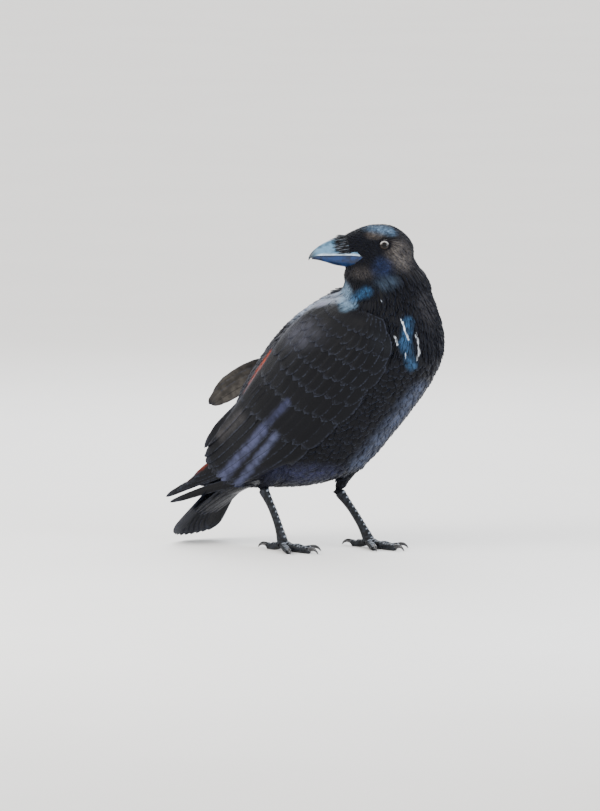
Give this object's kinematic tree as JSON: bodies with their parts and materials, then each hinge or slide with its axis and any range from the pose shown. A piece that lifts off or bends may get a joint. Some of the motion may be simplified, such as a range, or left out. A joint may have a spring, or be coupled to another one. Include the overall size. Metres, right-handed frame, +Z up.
{
  "type": "raven",
  "caption": "Life-size black raven standing with folded wings, its head turned back over its right shoulder and its rounded tail lowered to the ground.",
  "frame": {"origin": "on the floor, under the middle of the box round the whole bird", "axes": "+X the way the trunk faces, +Y the bird's left, +Z up; the floor is z = 0"},
  "size_m": [0.36, 0.1654, 0.4006],
  "materials": {
    "plumage": "near-black body feathers with a blue and violet gloss",
    "flight_feathers": "stiff satin black wing and tail feathers",
    "bill_horn": "horn, satin, dark slate with a blue sheen",
    "eye": "wet dark brown",
    "leg_scales": "black scaled skin",
    "claw_horn": "dark horn"
  },
  "bodies": {
    "root": {"bill_lower": "bill_horn", "bill_upper": "bill_horn", "claw_left_hind": "claw_horn", "claw_left_inner": "claw_horn", "claw_left_middle": "claw_horn", "claw_left_outer": "claw_horn", "claw_right_hind": "claw_horn", "claw_right_inner": "claw_horn", "claw_right_middle": "claw_horn", "claw_right_outer": "claw_horn", "eye_left": "eye", "eye_right": "eye", "head": "plumage", "neck": "plumage", "tail": "flight_feathers", "tarsus_left": "leg_scales", "tarsus_right": "leg_scales", "thigh_left": "plumage", "thigh_right": "plumage", "toe_left_hind": "leg_scales", "toe_left_inner": "leg_scales", "toe_left_middle": "leg_scales", "toe_left_outer": "leg_scales", "toe_right_hind": "leg_scales", "toe_right_inner": "leg_scales", "toe_right_middle": "leg_scales", "toe_right_outer": "leg_scales", "trunk": "plumage", "wing_left_coverts": "flight_feathers", "wing_left_primaries": "flight_feathers", "wing_left_secondaries": "flight_feathers", "wing_left_tertials": "flight_feathers", "wing_right_coverts": "flight_feathers", "wing_right_primaries": "flight_feathers", "wing_right_secondaries": "flight_feathers"}
  },
  "joints": []
}
